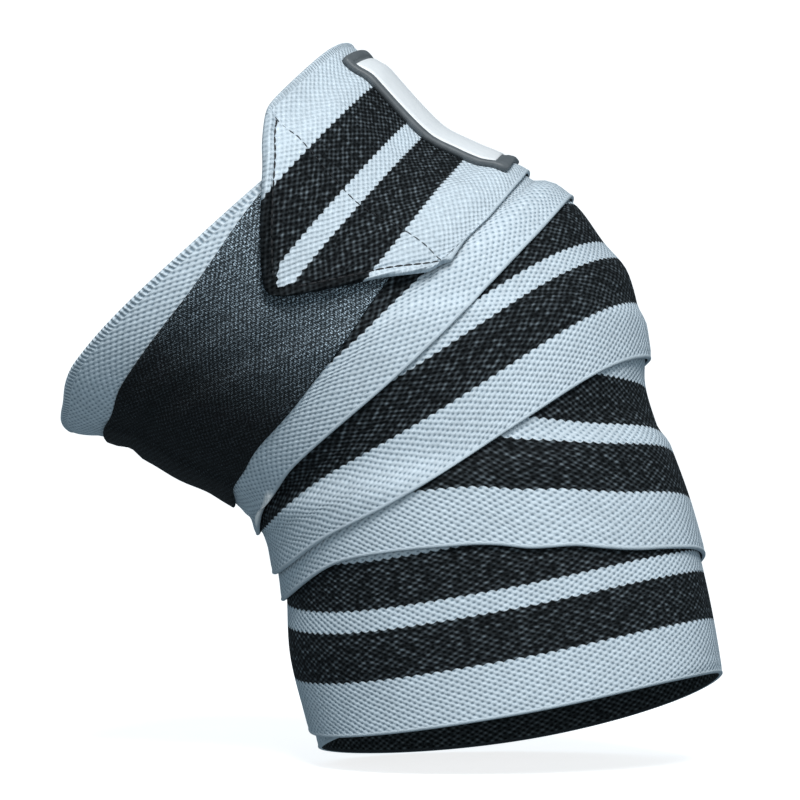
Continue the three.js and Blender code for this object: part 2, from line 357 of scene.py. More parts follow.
@dataclass(frozen=True)
class Winding:
    """Where the wound strip lies, with each turn lifted over the turns beneath it."""

    form: KneeForm = KneeForm()
    course: Course = WINDING
    panel_course: Course = PANEL_COURSE
    layer_pitch: float = 2.0
    panel_pitch: float = 1.0
    hook_pitch: float = 1.0
    hook_start: float = 5.172
    level: float = 2.5
    ramp: float = 8.0
    end_ramp: float = 32.0
    turn_step: float = 0.02
    mean_girth: float = 430.0

    def length_at(self, table: Array, along: Array) -> Array:
        """Reads lengths up the form.

        Args:
            table: The form's lengths, shape (rows, stations).
            along: One distance up the leg for each row.

        Returns:
            One length for each row.
        """
        place = (along - self.form.sections.first) / self.form.station_step
        i = np.clip(place.astype(int), 0, table.shape[1] - 2)
        rows = np.arange(len(table))
        return table[rows, i] + (place - i) * (table[rows, i + 1] - table[rows, i])

    def span(self, turns: Array) -> Pair:
        """Lengths up the form of the strip's two edges.

        Args:
            turns: One turn for each row.

        Returns:
            The low and the high edge's lengths.
        """
        table = self.form.lengths(TAU * turns)
        along = self.course.read("along", turns)
        before = np.maximum(turns - self.turn_step, self.course.first)
        after = np.minimum(turns + self.turn_step, self.course.last)
        walked = self.form.point(along, TAU * after) - self.form.point(along, TAU * before)
        run = np.linalg.norm(walked, axis=-1)
        rise = self.length_at(table, self.course.read("along", after))
        rise = rise - self.length_at(table, self.course.read("along", before))
        half = self.course.read("width", turns) / 2.0 * np.hypot(1.0, rise / run)
        middle = self.length_at(table, along)
        return middle - half, middle + half

    def fall_away(self, distance: Array) -> Array:
        """1 up to the level distance past an edge, then a soft fall to 0 over the ramp."""
        return 1.0 - soft_step(distance, self.level, self.level + self.ramp)

    def cover(self, lengths: Array, low: Array, high: Array) -> Array:
        """How much a turn between two lengths lifts what lies over it, from 0 to 1.

        Args:
            lengths: Lengths up the form, shape (rows, columns).
            low: Length of the lower turn's low edge, for each row.
            high: Length of the lower turn's high edge, for each row.

        Returns:
            Shares of one layer's height, of lengths' shape.
        """
        outside = np.maximum(low[:, None] - lengths, lengths - high[:, None])
        return self.fall_away(np.maximum(outside, 0.0))

    def panel_cover(self, turns: Array, lengths: Array) -> Array:
        """How much the fastening panel lifts what lies over it, from 0 to 1.

        Args:
            turns: Turns of the strip that carries the panel.
            lengths: Lengths up the form, shape (rows, columns).

        Returns:
            Shares of the panel's height, of lengths' shape.
        """
        held = np.clip(turns, self.panel_course.first, self.panel_course.last)
        low, high = self.span(turns)
        panel_low = low + (high - low) * self.panel_course.read("low", held)
        panel_high = low + (high - low) * self.panel_course.read("high", held)
        past_end = np.abs(turns - held) * self.mean_girth
        return self.cover(lengths, panel_low, panel_high) * self.fall_away(past_end)[:, None]

    def lift(self, turns: Array, lengths: Array) -> Array:
        """Height of the strip's inner face over the form.

        Args:
            turns: One turn for each row.
            lengths: Lengths up the form, shape (rows, columns).

        Returns:
            Heights of lengths' shape.
        """
        height = np.zeros_like(lengths)
        turns_beneath = int(np.max(turns) - self.course.first) + 1
        for back in range(1, turns_beneath + 1):
            under = turns - back
            low, high = self.span(np.maximum(under, self.course.first))
            past_end = np.maximum(self.course.first - under, 0.0) * self.mean_girth
            started = 1.0 - soft_step(past_end, self.level, self.level + self.end_ramp)
            height += self.cover(lengths, low, high) * started[:, None] * self.layer_pitch
        over_panel = turns > self.course.last - 1.0
        if np.any(over_panel):
            top = turns[over_panel]
            over_hook = self.fall_away(np.maximum(self.hook_start - top, 0.0) * self.mean_girth)
            height[over_panel] += self.panel_cover(top - 1.0, lengths[over_panel]) * self.panel_pitch
            height[over_panel] += over_hook[:, None] * self.hook_pitch
        return height

    def place(self, turns: Array, shares: Array, heights: Array) -> Array:
        """Points on the wound strip.

        Args:
            turns: One turn for each row.
            shares: Shares of the strip's width, shape (rows, columns).
            heights: Heights over the strip's inner face, of the same shape.

        Returns:
            Points in metres, shape (rows, columns, 3).
        """
        low, high = self.span(turns)
        lengths = low[:, None] + shares * (high - low)[:, None]
        stations = self.form.stations()
        table = self.form.lengths(TAU * turns)
        along = np.stack([np.interp(row, known, stations) for row, known in zip(lengths, table)])
        angle = (TAU * turns)[:, None]
        lifted = self.lift(turns, lengths) + heights
        return (self.form.point(along, angle) + self.form.normal(along, angle) * lifted[..., None]) * MM

    def width(self, turns: Array) -> Array:
        """Width of the strip square to its course at each turn."""
        return self.course.read("width", turns)


def new_mesh_object(name: str, points: Array, faces: Faces) -> bpy.types.Object:
    """Makes a smooth-shaded mesh object whose faces point outwards.

    Args:
        name: Name of the piece.
        points: Points in metres, shape (count, 3).
        faces: Corner numbers of each face.

    Returns:
        The new object, in the scene.
    """
    # Six times the volume, which is below zero where the faces point inwards
    volume = 0.0
    for face in faces:
        for k in range(1, len(face) - 1):
            a, b, c = points[face[0]], points[face[k]], points[face[k + 1]]
            volume += a[0] * (b[1] * c[2] - b[2] * c[1])
            volume += a[1] * (b[2] * c[0] - b[0] * c[2])
            volume += a[2] * (b[0] * c[1] - b[1] * c[0])
    if volume < 0.0:
        faces = [tuple(reversed(face)) for face in faces]
    mesh = bpy.data.meshes.new(name)
    mesh.from_pydata(points.tolist(), [], faces)
    mesh.shade_smooth()
    mesh.update()
    piece = bpy.data.objects.new(name, mesh)
    bpy.context.scene.collection.objects.link(piece)
    return piece


def paint_flat(piece: bpy.types.Object, flat: Array) -> None:
    """Gives each corner of a mesh its place on the flat cloth, as the mesh's UV map.

    Args:
        piece: The object.
        flat: One flat place for each vertex, shape (count, 2).
    """
    mesh = piece.data
    corners = np.zeros(len(mesh.loops), np.int32)
    mesh.loops.foreach_get("vertex_index", corners)
    layer = mesh.uv_layers.new(name="flat")
    layer.data.foreach_set("uv", flat[corners].astype(np.float32).ravel())


def ring_faces(rows: int, count: int) -> Faces:
    """Faces of a closed solid through rows of closed rings.

    Args:
        rows: How many rings there are.
        count: Points in a ring.

    Returns:
        The faces in rows, then the two caps.
    """
    i, j = np.meshgrid(np.arange(rows - 1), np.arange(count), indexing="ij")
    after = (j + 1) % count
    quads = np.stack([i * count + j, i * count + after, (i + 1) * count + after, (i + 1) * count + j], -1)
    faces = [tuple(quad) for quad in quads.reshape(-1, 4).tolist()]
    faces.append(tuple(reversed(range(count))))
    faces.append(tuple(range((rows - 1) * count, rows * count)))
    return faces


def loft(name: str, rings: Array) -> bpy.types.Object:
    """A closed solid through rows of closed rings in metres, shape (rows, points in a ring, 3)."""
    return new_mesh_object(name, rings.reshape(-1, 3), ring_faces(*rings.shape[:2]))


def add_to_part(piece: bpy.types.Object, node: str | None = None) -> None:
    """Fastens a piece to the part, and hides the CAD node that it stands for, if any.

    Args:
        piece: The finished object.
        node: The CAD node that it stands for, if any.
    """
    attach(piece, BODY)
    if node is not None:
        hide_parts(node)
    log.info("%s: %d faces", piece.name, len(piece.data.polygons))


# Where the mix node has its two colours and their mixture
MIX_COLOURS = (6, 7)
MIX_RESULT = 2


class Graph:
    """Adds and joins the nodes of one shader tree."""

    def __init__(self, tree: bpy.types.NodeTree) -> None:
        """Starts with the tree that gets the nodes."""
        self.tree = tree

    def add(self, kind: str, **settings: object) -> bpy.types.Node:
        """Adds a node.

        Args:
            kind: Blender's name for the node's type.
            **settings: Properties to set on it.

        Returns:
            The new node.
        """
        node = self.tree.nodes.new(kind)
        for name, value in settings.items():
            setattr(node, name, value)
        return node

    def feed(self, socket: bpy.types.NodeSocket, value: object) -> None:
        """Joins a socket to another, or sets its value.

        Args:
            socket: The input.
            value: The output that it is joined to, or its own value.
        """
        if isinstance(value, bpy.types.NodeSocket):
            self.tree.links.new(value, socket)
        else:
            socket.default_value = value

    def math(self, operation: str, *values: object) -> bpy.types.NodeSocket:
        """One step of arithmetic.

        Args:
            operation: Blender's name for it.
            *values: Sockets or numbers.

        Returns:
            The result's socket.
        """
        node = self.add("ShaderNodeMath", operation=operation)
        for socket, value in zip(node.inputs, values):
            self.feed(socket, value)
        return node.outputs[0]

    def step(self, value: object, low: float, high: float) -> bpy.types.NodeSocket:
        """Rises smoothly from 0 at low to 1 at high.

        Args:
            value: Socket to read.
            low: Value at which the step starts.
            high: Value at which the step is whole.

        Returns:
            The step's socket.
        """
        node = self.add("ShaderNodeMapRange", interpolation_type="SMOOTHSTEP")
        self.feed(node.inputs["Value"], value)
        node.inputs["From Min"].default_value = low
        node.inputs["From Max"].default_value = high
        return node.outputs["Result"]

    def blend(self, share: object, first: object, second: object) -> bpy.types.NodeSocket:
        """Mixes two colours.

        Args:
            share: Socket or number: 0 gives the first colour.
            first: Socket or colour.
            second: Socket or colour.

        Returns:
            The mixed colour's socket.
        """
        node = self.add("ShaderNodeMix", data_type="RGBA")
        self.feed(node.inputs["Factor"], share)
        for place, colour in zip(MIX_COLOURS, (first, second)):
            value = colour if isinstance(colour, bpy.types.NodeSocket) else (*colour, 1.0)
            self.feed(node.inputs[place], value)
        return node.outputs[MIX_RESULT]

    def noise(self, vector: object, scale: float, detail: float, output: str = "Fac") -> bpy.types.NodeSocket:
        """Soft noise from 0 to 1.

        Args:
            vector: Socket with the place to read.
            scale: Waves for each unit of the place.
            detail: How many finer waves are laid over it.
            output: The node's output to read: one value, or three as a colour.

        Returns:
            The noise's socket.
        """
        node = self.add("ShaderNodeTexNoise")
        self.feed(node.inputs["Vector"], vector)
        node.inputs["Scale"].default_value = scale
        node.inputs["Detail"].default_value = detail
        return node.outputs[output]

    def split(self, vector: object) -> bpy.types.bpy_prop_collection:
        """Takes a vector apart.

        Args:
            vector: Socket with the vector.

        Returns:
            The sockets of its three parts.
        """
        node = self.add("ShaderNodeSeparateXYZ")
        self.feed(node.inputs[0], vector)
        return node.outputs

    def wave(self, value: object, rate: float = 1.0) -> bpy.types.NodeSocket:
        """A cosine from -1 to 1, with rate waves for each unit of a value."""
        return self.math("COSINE", self.math("MULTIPLY", value, TAU * rate))

    def from_wave(self, value: object) -> bpy.types.NodeSocket:
        """A value from -1 to 1, brought to 0 to 1."""
        return self.math("MULTIPLY_ADD", value, 0.5, 0.5)

    def fade(self, mask: object, loss: float) -> bpy.types.NodeSocket:
        """1 where a mask is 0, less a loss where it is 1."""
        return self.math("MULTIPLY_ADD", mask, -loss, 1.0)

    def attribute(self, name: str) -> bpy.types.NodeSocket:
        """A mask that the mesh's points carry."""
        return self.add("ShaderNodeAttribute", attribute_name=name).outputs["Fac"]

    def shade(self, colour: object, value: object) -> bpy.types.NodeSocket:
        """Makes a colour brighter or darker.

        Args:
            colour: Socket with the colour.
            value: Socket with the factor.

        Returns:
            The new colour's socket.
        """
        node = self.add("ShaderNodeHueSaturation")
        self.feed(node.inputs["Color"], colour)
        self.feed(node.inputs["Value"], value)
        return node.outputs[0]

    def relief(self, height: object, depth: float) -> bpy.types.NodeSocket:
        """Normals of a fine relief.

        Args:
            height: Socket with the relief, about 0 to 1.
            depth: Its depth in metres.

        Returns:
            The normals' socket.
        """
        node = self.add("ShaderNodeBump")
        node.inputs["Distance"].default_value = depth
        self.feed(node.inputs["Height"], height)
        return node.outputs[0]


class NodeGroup:
    """A shader node group with named inputs and outputs, built once and placed in each material."""

    def __init__(self, name: str, inputs: dict[str, str], outputs: dict[str, str]) -> None:
        """Makes the empty group.

        Args:
            name: Name of the group.
            inputs: Socket type of each named input.
            outputs: Socket type of each named output.
        """
        self.tree = bpy.data.node_groups.new(name, "ShaderNodeTree")
        for label, kind in inputs.items():
            self.tree.interface.new_socket(label, in_out="INPUT", socket_type=kind)
        for label, kind in outputs.items():
            self.tree.interface.new_socket(label, in_out="OUTPUT", socket_type=kind)
        self.graph = Graph(self.tree)
        self.inside = self.graph.add("NodeGroupInput").outputs
        self.result = self.graph.add("NodeGroupOutput").inputs

    def place(self, graph: Graph, **values: object) -> bpy.types.bpy_prop_collection:
        """Places the group in a material.

        Args:
            graph: The material's graph.
            **values: Sockets or values for the inputs, by name.

        Returns:
            The placed group's outputs.
        """
        node = graph.add("ShaderNodeGroup", node_tree=self.tree)
        for label, value in values.items():
            graph.feed(node.inputs[label], value)
        return node.outputs


VECTOR = "NodeSocketVector"
FLOAT = "NodeSocketFloat"


@dataclass(frozen=True)
class Stripes:
    """The strip's stripes, rolled low edge and ribbed high edge, in repeats of the weave across it."""

    repeats_across: float = 40.0
    narrow_half: float = 1.84
    wide_from: float = 10.37
    scallop: float = 0.38
    scallop_mean: float = 0.64
    border: float = 0.1
    roll: Span = (0.4, 0.64)
    roll_height: float = 0.8
    ladder: Span = (1.1, 1.43)
    rungs: float = 2.0
    rung_from: Span = (0.3, 0.5)
    rung_shape: Span = (0.1, 0.8)


@dataclass(frozen=True)
class Beads:
    """The shape of the weave's beads and pits, and how far their rows wander, in repeats of the weave."""

    drift_scale: float = 0.45
    drift_detail: float = 1.0
    drift: Point = (0.4, 0.3, 0.0)
    pit_shape: Span = (0.25, 0.95)
    power: float = 0.7


@dataclass(frozen=True)
class WeaveGroups:
    """The node groups that both faces of the strip use."""

    lattice: NodeGroup
    stripes: NodeGroup

    @staticmethod
    def make(stripes: Stripes, beads: Beads) -> "WeaveGroups":
        """Builds the lattice of beads and pits, and the mask of the striped threads."""
        return WeaveGroups(WeaveGroups.make_lattice(stripes, beads), WeaveGroups.make_stripes(stripes))

    @staticmethod
    def make_lattice(stripes: Stripes, beads: Beads) -> NodeGroup:
        """The weave's relief: broad beads in staggered rows, pits between them, a smooth and a ribbed edge.

        Args:
            stripes: The strip's layout across its width.
            beads: The shape of the beads and pits.

        Returns:
            A group from repeats along and across to the threads' height, the mask of the pits and edge slots,
            which the materials darken as painted shade, the mask of the rolled edge, and a random number for
            each bead.
        """
        outputs = {name: FLOAT for name in ("Bead", "Pit", "Roll", "Lot")}
        group = NodeGroup("woven_lattice", {"Repeats": VECTOR}, outputs)
        graph = group.graph
        repeats = group.inside["Repeats"]
        drift = graph.noise(repeats, beads.drift_scale, beads.drift_detail, "Color")
        wander = graph.add("ShaderNodeVectorMath", operation="MULTIPLY_ADD")
        for socket, value in zip(wander.inputs, (drift, beads.drift, repeats)):
            graph.feed(socket, value)
        along, across, _ = graph.split(wander.outputs[0])
        chequer = graph.math("MULTIPLY", graph.wave(along), graph.wave(across))
        number = graph.add("ShaderNodeCombineXYZ")
        for socket, sign in zip(number.inputs, (1.0, -1.0)):
            graph.feed(socket, graph.math("ROUND", graph.math("MULTIPLY_ADD", across, sign, along)))
        lot = graph.add("ShaderNodeTexWhiteNoise", noise_dimensions="2D")
        graph.feed(lot.inputs["Vector"], number.outputs[0])
        from_low = graph.split(repeats)[1]
        from_high = graph.math("SUBTRACT", stripes.repeats_across, from_low)
        low_roll = graph.math("SUBTRACT", 1.0, graph.step(from_low, *stripes.roll))
        high_roll = graph.math("SUBTRACT", 1.0, graph.step(from_high, *stripes.ladder))
        slots = graph.math("MULTIPLY", high_roll, graph.step(from_high, *stripes.rung_from))
        woven = graph.math("SUBTRACT", 1.0, graph.math("MAXIMUM", low_roll, high_roll))
        hollow = graph.step(graph.math("MULTIPLY", chequer, -1.0), *beads.pit_shape)
        pit = graph.math("MULTIPLY", hollow, woven)
        pace = graph.wave(along, stripes.rungs)
        gap = graph.step(graph.math("MULTIPLY", pace, -1.0), *stripes.rung_shape)
        rung = graph.math("MULTIPLY", gap, slots)
        rounded = graph.math("POWER", graph.from_wave(chequer), beads.power)
        domed = graph.math("MULTIPLY", rounded, woven)
        bead = graph.math("MULTIPLY_ADD", low_roll, stripes.roll_height, domed)
        rib = graph.math("MULTIPLY", graph.from_wave(pace), high_roll)
        graph.feed(group.result["Bead"], graph.math("ADD", bead, rib))
        # The pits and the ladder's slots, which the materials fill with painted shade.
        graph.feed(group.result["Pit"], graph.math("MAXIMUM", pit, rung))
        graph.feed(group.result["Roll"], low_roll)
        graph.feed(group.result["Lot"], lot.outputs["Value"])
        return group

    @staticmethod
    def make_stripes(stripes: Stripes) -> NodeGroup:
        """The striped threads' mask: two wide edge stripes and a narrow middle one, with scalloped borders.

        Args:
            stripes: The strip's layout across its width.

        Returns:
            A group from repeats along and across, and from the mask of the hemmed rim, to the stripes' mask.
        """
        group = NodeGroup("striped_threads", {"Repeats": VECTOR, "Rim": FLOAT}, {"Stripe": FLOAT})
        graph = group.graph
        along, across, _ = graph.split(group.inside["Repeats"])
        off_middle = graph.math("ABSOLUTE", graph.math("SUBTRACT", across, stripes.repeats_across / 2.0))
        turned = graph.math("MULTIPLY", along, math.pi)
        scallops = [graph.math("ABSOLUTE", graph.math(wave, turned)) for wave in ("COSINE", "SINE")]
        centred = [graph.math("SUBTRACT", scallop, stripes.scallop_mean) for scallop in scallops]
        reach = [graph.math("MULTIPLY", scallop, stripes.scallop) for scallop in centred]
        narrow = graph.math("ADD", graph.math("SUBTRACT", stripes.narrow_half, off_middle), reach[0])
        wide = graph.math("ADD", graph.math("SUBTRACT", off_middle, stripes.wide_from), reach[1])
        hemmed = graph.math("MULTIPLY", group.inside["Rim"], stripes.narrow_half * 2.0)
        inside = graph.math("MAXIMUM", graph.math("SUBTRACT", narrow, hemmed), wide)
        graph.feed(group.result["Stripe"], graph.step(inside, -stripes.border, stripes.border))
        return group


def new_material(name: str) -> tuple[bpy.types.Material, Graph, bpy.types.Node]:
    """Makes a material with an empty Principled shader.

    Args:
        name: Name of the material.

    Returns:
        The material, its graph and the shader node.
    """
    material = bpy.data.materials.new(name)
    material.use_nodes = True
    material.node_tree.nodes.clear()
    graph = Graph(material.node_tree)
    shader = graph.add("ShaderNodeBsdfPrincipled")
    output = graph.add("ShaderNodeOutputMaterial")
    graph.feed(output.inputs["Surface"], shader.outputs[0])
    return material, graph, shader


def flat_place(graph: Graph) -> bpy.types.NodeSocket:
    """The place on the flat cloth, from the mesh's UV map."""
    return graph.add("ShaderNodeUVMap", uv_map="flat").outputs[0]


@dataclass(frozen=True)
class WovenElastic:
    """One face of the striped woven elastic."""

    name: str
    # The bead colours are painted highlights on lit bead tops, the threads' own colour being the thread
    # colours.
    stripe_glint: Colour
    stripe_thread: Colour
    # The pit colours are painted shade in the pits and edge slots.
    stripe_pit_shade: Colour
    roll: Colour
    # The cord colour is the pale edge threads of the rolled corner, with a painted highlight on top.
    cord: Colour
    ground_glint: Colour
    ground_thread: Colour
    ground_pit_shade: Colour
    glint_power: float = 3.0
    glint_scale: float = 1.3
    glint_detail: float = 1.0
    glint_step: Span = (0.3, 0.7)
    least_spark: float = 0.25
    rim_dulling: float = 0.75
    slack_closing: float = 0.65
    slack_plumping: float = 0.2
    tone_scale: float = 0.12
    tone_detail: float = 3.0
    tone_share: float = 0.24
    lot_share: float = 0.1
    tone_base: float = 0.83
    relief: float = 0.45 * MM
    roughness: float = 0.8
    specular: float = 0.08

    def make(self, groups: WeaveGroups) -> bpy.types.Material:
        """Builds the material.

        Args:
            groups: The weave's node groups.

        Returns:
            The material.
        """
        material, graph, shader = new_material(self.name)
        repeats = flat_place(graph)
        rim, cord, slack = (graph.attribute(mask) for mask in ("rim", "cord", "slack"))
        lattice = groups.lattice.place(graph, Repeats=repeats)
        stripe = groups.stripes.place(graph, Repeats=repeats, Rim=rim)["Stripe"]
        # Painted highlight: lit bead tops take the lighter glint colour. On the black ground each bead gets a
        # random strength, and less on the hemmed rim.
        lit = graph.step(graph.noise(repeats, self.glint_scale, self.glint_detail), *self.glint_step)
        glint = graph.math("MULTIPLY", graph.math("POWER", lattice["Bead"], self.glint_power), lit)
        # Painted shade: the pits and edge slots take a dark colour, fainter on the loose flap.
        closed = graph.math("MULTIPLY", lattice["Pit"], graph.fade(slack, self.slack_closing))
        striped = graph.blend(glint, self.stripe_thread, self.stripe_glint)
        striped = graph.blend(closed, striped, self.stripe_pit_shade)
        striped = graph.blend(lattice["Roll"], striped, self.roll)
        # The rolled corner: pale edge threads, whitened further as a painted highlight.
        striped = graph.blend(cord, striped, self.cord)
        chance = graph.math("MULTIPLY_ADD", lattice["Lot"], 1.0 - self.least_spark, self.least_spark)
        spark = graph.math("MULTIPLY", glint, chance)
        spark = graph.math("MULTIPLY", spark, graph.fade(rim, self.rim_dulling))
        ground = graph.blend(spark, self.ground_thread, self.ground_glint)
        ground = graph.blend(lattice["Pit"], ground, self.ground_pit_shade)
        threads = graph.blend(stripe, ground, striped)
        mottle = graph.math("MULTIPLY_ADD", lattice["Lot"], self.lot_share, self.tone_base)
        tone = graph.noise(repeats, self.tone_scale, self.tone_detail)
        tone = graph.math("MULTIPLY_ADD", tone, self.tone_share, mottle)
        graph.feed(shader.inputs["Base Color"], graph.shade(threads, tone))
        shader.inputs["Roughness"].default_value = self.roughness
        shader.inputs["Specular IOR Level"].default_value = self.specular
        plump = graph.math("MULTIPLY_ADD", slack, self.slack_plumping, 1.0)
        height = graph.math("MULTIPLY", lattice["Bead"], plump)
        graph.feed(shader.inputs["Normal"], graph.relief(height, self.relief))
        return material


# On both faces the bead colours are painted highlights on lit bead tops.
ELASTIC_FRONT = WovenElastic(
    name="elastic_front",
    stripe_glint=(0.65, 0.73, 0.79),
    stripe_thread=(0.52, 0.60, 0.66),
    stripe_pit_shade=(0.25, 0.32, 0.38),
    roll=(0.44, 0.51, 0.56),
    # Pale edge threads, whitened almost to white as a painted highlight.
    cord=(0.95, 0.96, 0.96),
    ground_glint=(0.165, 0.200, 0.225),
    ground_thread=(0.006, 0.0075, 0.0085),
    ground_pit_shade=(0.001, 0.0015, 0.002),
)

ELASTIC_REVERSE = WovenElastic(
    name="elastic_reverse",
    stripe_glint=(0.14, 0.16, 0.17),
    stripe_thread=(0.016, 0.019, 0.020),
    stripe_pit_shade=(0.002, 0.003, 0.003),
    roll=(0.030, 0.034, 0.037),
    cord=(0.030, 0.034, 0.037),
    ground_glint=(0.66, 0.74, 0.78),
    ground_thread=(0.52, 0.61, 0.66),
    ground_pit_shade=(0.25, 0.32, 0.37),
)


@dataclass(frozen=True)
class FibreSpecks:
    """Fine knitted loops, ribs and bright specks: fibre tone, and painted glints on the loop panel. Scales
    are waves in a millimetre of the flat cloth.
    """

    fine_scale: float = 2.1
    fine_detail: float = 2.0
    fine_share: float = 0.8
    fine_base: float = 0.1
    patch_scale: float = 0.3
    patch_detail: float = 2.0
    patch_gain: float = 1.55
    spark_scale: float = 2.4
    spark_detail: float = 0.0
    spark_step: Span = (0.61, 0.71)
    rib_slant: float = 0.085
    rib_share: float = 0.5
    rib_mean: float = 0.7
    rib_relief: float = 0.25
    loop_slant: float = 0.21
    ribs_along_loop: float = 4.0
    ribs_across_loop: float = 2.58
    loop_share: float = 0.19
    bright_step: Span = (0.47, 0.82)

    def make(self) -> NodeGroup:
        """Builds the node group that the brushed fabric, the hook tape and the thread use.

        Returns:
            A group from the place on the flat cloth and the ribs' spacing, in millimetres, to the mask of
            the bright specks, which are painted glints on the loop panel, and the height of the relief.
        """
        group = NodeGroup("fibre_specks", {"Flat": VECTOR, "Rib": FLOAT}, {"Speck": FLOAT, "Relief": FLOAT})
        graph = group.graph
        flat = group.inside["Flat"]
        fine = graph.noise(flat, self.fine_scale, self.fine_detail)
        patches = graph.noise(flat, self.patch_scale, self.patch_detail)
        spark = graph.step(graph.noise(flat, self.spark_scale, self.spark_detail), *self.spark_step)
        x, y, _ = graph.split(flat)
        rib = group.inside["Rib"]
        along = graph.math("DIVIDE", graph.math("MULTIPLY_ADD", y, self.rib_slant, x), rib)
        across = graph.math("DIVIDE", graph.math("MULTIPLY_ADD", x, self.loop_slant, y), rib)
        ribs = graph.math("SINE", graph.math("MULTIPLY", along, TAU))
        rows = graph.wave(along, 1.0 / self.ribs_along_loop)
        loops = graph.math("MULTIPLY", rows, graph.wave(across, 1.0 / self.ribs_across_loop))
        grain = graph.math("MULTIPLY_ADD", fine, self.fine_share, self.fine_base)
        grain = graph.math("MULTIPLY_ADD", loops, self.loop_share, grain)
        patched = graph.math("MULTIPLY", patches, self.patch_gain)
        bright = graph.math("MULTIPLY", graph.step(grain, *self.bright_step), patched)
        ribbed = graph.math("MULTIPLY_ADD", ribs, self.rib_share, self.rib_mean)
        sparks = graph.math("MULTIPLY", spark, patches)
        graph.feed(group.result["Speck"], graph.math("MULTIPLY_ADD", bright, ribbed, sparks))
        fuzz = graph.math("MULTIPLY", fine, 1.0 - self.rib_relief)
        graph.feed(group.result["Relief"], graph.math("MULTIPLY_ADD", ribs, self.rib_relief, fuzz))
        return group


@dataclass(frozen=True)
class FibreCloth:
    """A dark fabric of fine fibres: the brushed loop panel, the hook tape or the sewing thread."""

    name: str
    ground: Colour
    # Colour of the bright specks: fibre tone on the hook tape and thread, painted glints on the loop panel.
    fibre_and_glint: Colour
    rib: float
    relief: float
    roughness: float
    specular: float
    # Painted shade: past this span along the cloth, in millimetres, the colour fades by the loss below and
    # the roughness rises.
    shade_span: Span = (42.0, 112.0)
    painted_shade_loss: float = 0.0
    shaded_end_roughness: float = 0.3

    def make(self, specks: NodeGroup) -> bpy.types.Material:
        """Builds the material.

        Args:
            specks: The fibres' node group.

        Returns:
            The material.
        """
        material, graph, shader = new_material(self.name)
        flat = flat_place(graph)
        placed = specks.place(graph, Flat=flat, Rib=self.rib)
        # Painted shade on the far end of the strip, which also grows rougher there.
        shaded_end = graph.step(graph.split(flat)[0], *self.shade_span)
        fibres = graph.blend(placed["Speck"], self.ground, self.fibre_and_glint)
        graph.feed(shader.inputs["Base Color"], graph.shade(fibres, graph.fade(shaded_end, self.painted_shade_loss)))
        dull = graph.math("MULTIPLY_ADD", shaded_end, self.shaded_end_roughness, self.roughness)
        graph.feed(shader.inputs["Roughness"], dull)
        shader.inputs["Specular IOR Level"].default_value = self.specular
        graph.feed(shader.inputs["Normal"], graph.relief(placed["Relief"], self.relief))
        return material


LOOP_CLOTH = FibreCloth(
    name="loop_cloth",
    ground=(0.016, 0.024, 0.030),
    # Painted glints: bright pale-blue specks on the near-black panel.
    fibre_and_glint=(0.68, 0.85, 0.98),
    rib=0.63,
    relief=0.2 * MM,
    roughness=0.6,
    specular=0.22,
    # Painted shade: the panel darkens almost to black towards the back of the knee.
    painted_shade_loss=0.92,
)
HOOK_CLOTH = FibreCloth("hook_cloth", (0.010, 0.011, 0.012), (0.04, 0.04, 0.045), 0.9, 0.3 * MM, 0.6, 0.5)
THREAD = FibreCloth("thread", (0.012, 0.013, 0.015), (0.05, 0.055, 0.06), 0.3, 0.05 * MM, 0.7, 0.3)


@dataclass(frozen=True)
class MouldedRubber:
    """Soft moulded rubber with a fine matt grain."""

    name: str
    colour: Colour
    worn: Colour
    roughness: float
    grain: float = 0.03 * MM
    grain_scale: float = 6.0
    grain_detail: float = 3.0
    cloud_scale: float = 0.25
    cloud_detail: float = 4.0
    cloud_roughness: float = 0.2
    worn_step: Span = (0.35, 0.8)

    def make(self) -> bpy.types.Material:
        """Builds the material.

        Returns:
            The material.
        """
        material, graph, shader = new_material(self.name)
        place = flat_place(graph)
        cloud = graph.noise(place, self.cloud_scale, self.cloud_detail)
        colour = graph.blend(graph.step(cloud, *self.worn_step), self.colour, self.worn)
        graph.feed(shader.inputs["Base Color"], colour)
        dull = graph.math("MULTIPLY_ADD", cloud, self.cloud_roughness, self.roughness)
        graph.feed(shader.inputs["Roughness"], dull)
        grain = graph.noise(place, self.grain_scale, self.grain_detail)
        graph.feed(shader.inputs["Normal"], graph.relief(grain, self.grain))
        return material


DARK_RUBBER = MouldedRubber("dark_rubber", (0.085, 0.096, 0.104), (0.12, 0.134, 0.144), 0.42)
PALE_RUBBER = MouldedRubber("pale_rubber", (0.8, 0.82, 0.835), (0.75, 0.775, 0.79), 0.45)


